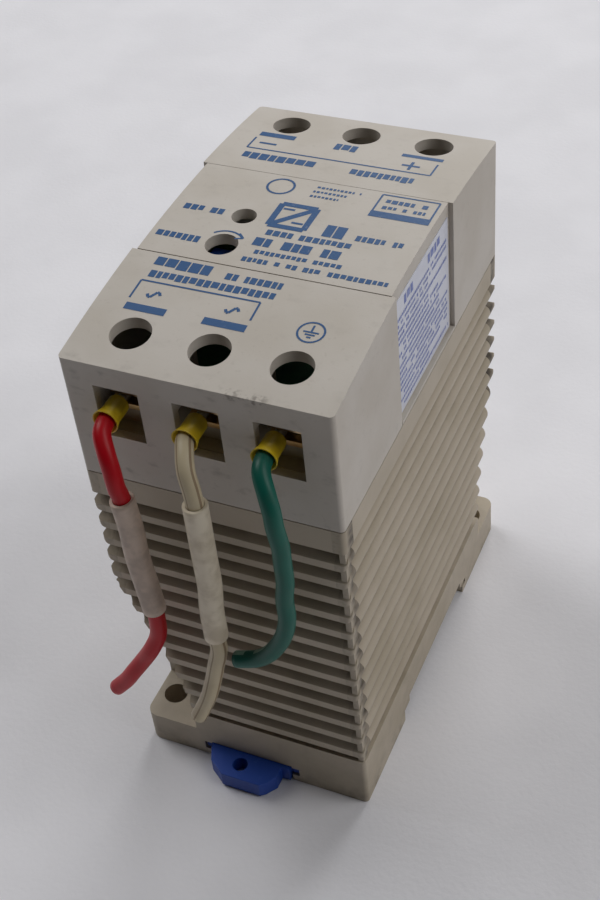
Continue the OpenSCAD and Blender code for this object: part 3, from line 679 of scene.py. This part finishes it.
def wire_finish(name, base, second, stripe=None, rough=0.34):
    """Insulation with a slight sheen; stripe is a function that gives the mask of its second colour."""
    finish = Finish(name, specular_ior_level=0.3)
    attribute = finish.node("Attribute", {"attribute_name": "along"}, output="Vector")
    split = finish.node("SeparateXYZ", sockets={0: attribute}).socket.node.outputs
    turn_x, turn_y, length = (Signal(finish, out) for out in split)
    soil = finish.noise(2.5, 3.0).ramp(0.45, 0.75) * 0.08
    colour = finish.mix(soil, base, rgb(84, 70, 58))
    if stripe:
        colour = finish.mix(stripe(turn_x, turn_y, length), colour, second)
    finish.colour(colour)
    finish.roughness(rough + 0.12 * finish.noise(1.5, 2.0))
    finish.bump(finish.noise(0.6, 2.0), 0.02, 0.4)
    return finish.material


dash_pitch = 7.0


def dashes(turn_x, turn_y, length):
    repeat = length.math("FRACT", length / dash_pitch)
    return (turn_x > 0.86) * (repeat > 0.35) * 0.5


def lines(turn_x, turn_y, length):
    return (abs(turn_y) < 0.16) * 0.7 + (abs(turn_x) < 0.10) * 0.6


core_finish = Finish("cut_copper", metallic=1.0)
strands = core_finish.noise(0.35, 2.0).ramp(0.35, 0.65)
core_finish.colour(core_finish.mix(strands, rgb(120, 66, 40), rgb(196, 122, 82)))
core_finish.roughness(0.35 + 0.2 * strands)
insulation = {
    "red": wire_finish("wire_red", rgb(184, 6, 24), rgb(150, 20, 30)),
    "white": wire_finish("wire_white", rgb(200, 186, 156), rgb(120, 92, 66), lines),
    "green": wire_finish("wire_green", rgb(16, 92, 78), rgb(160, 190, 176), dashes),
}
ferrule_yellow = finished("ferrule_yellow", rgb(220, 190, 28), rgb(204, 172, 20), 2.0, 0.4)
sleeve_tin = finished("sleeve_tin", rgb(206, 204, 198), rgb(184, 182, 176), 1.0, 0.3, metallic=1.0)
paint(sleeve_tin, "ferrule_sleeves")
collars = {
    colour: softened("ferrule_" + number, 0.06, ferrule_yellow)
    for number, colour in zip("123", ("red", "white", "green"))
}
wires, paths = {}, {}
core_radius, strip = 0.85, 0.12
for colour, points in routes.items():
    path = smooth_route(points)
    shape, ring, forward = swept(path, [wire_diameter / 2] * len(path))
    rim = [e for e in {e for v in ring for e in v.link_edges} if set(e.verts) <= set(ring)]
    cap = bmesh.ops.contextual_create(shape, geom=rim)["faces"]
    bmesh.ops.inset_individual(shape, faces=cap, thickness=(wire_diameter / 2 - core_radius) * MM)
    for face in cap:
        face.material_index = 1
        bmesh.ops.translate(shape, verts=face.verts, vec=-forward * strip * MM)
    for face in shape.faces:
        face.smooth = len(face.verts) == 4 and face.material_index == 0
    wire = object_of(colour + "_conductor", shape, insulation[colour], core_finish.material)
    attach(wire, "housing")
    "wire_" + colour
    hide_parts(colour + "_wire")
    wires[colour], paths[colour] = wire, path


# ---- Marker tubes ----
# Soft sleeves slipped over the red and the white conductor, slightly flared and soiled, left blank.

tube_radius, bore_radius = 2.0, 1.5
markers = {}
for number, colour, first, last, clean, soiled in (
    ("1", "red", 6, 10, rgb(204, 184, 168), rgb(180, 162, 148)),
    ("2", "white", 5, 10, rgb(228, 216, 194), rgb(206, 192, 168)),
):
    path = paths[colour][first * route_steps:last * route_steps + 1]
    path = [path[0], path[0]] + path + [path[-1], path[-1]]
    rims = [bore_radius, tube_radius - 0.12]
    radii = rims + [tube_radius] * (len(path) - 4) + rims[::-1]
    shape, ring, forward = swept(path, radii, 32)
    bmesh.ops.recalc_face_normals(shape, faces=shape.faces)
    for face in shape.faces:
        face.smooth = True
    finish = Finish("marker_sleeve_" + number)
    soil = finish.noise(3.0, 4.0).ramp(0.4, 0.7)
    finish.colour(finish.mix(soil, clean, soiled))
    finish.roughness(0.5 + 0.15 * finish.noise(1.2, 2.0))
    finish.bump(finish.noise(2.4, 2.0), 0.03, 0.3)
    marker = object_of("marker_sleeve_" + number, shape, finish.material)
    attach(marker, "housing")
    "marker_pink" if number == "1" else "marker_cream"
    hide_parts("marker_tube_" + number)
    markers[colour] = marker
for colour, wire in wires.items():
    path = paths[colour]
    round(path_length(path), 4)
    [collars[colour]] + ([markers[colour]] if colour in markers else [])
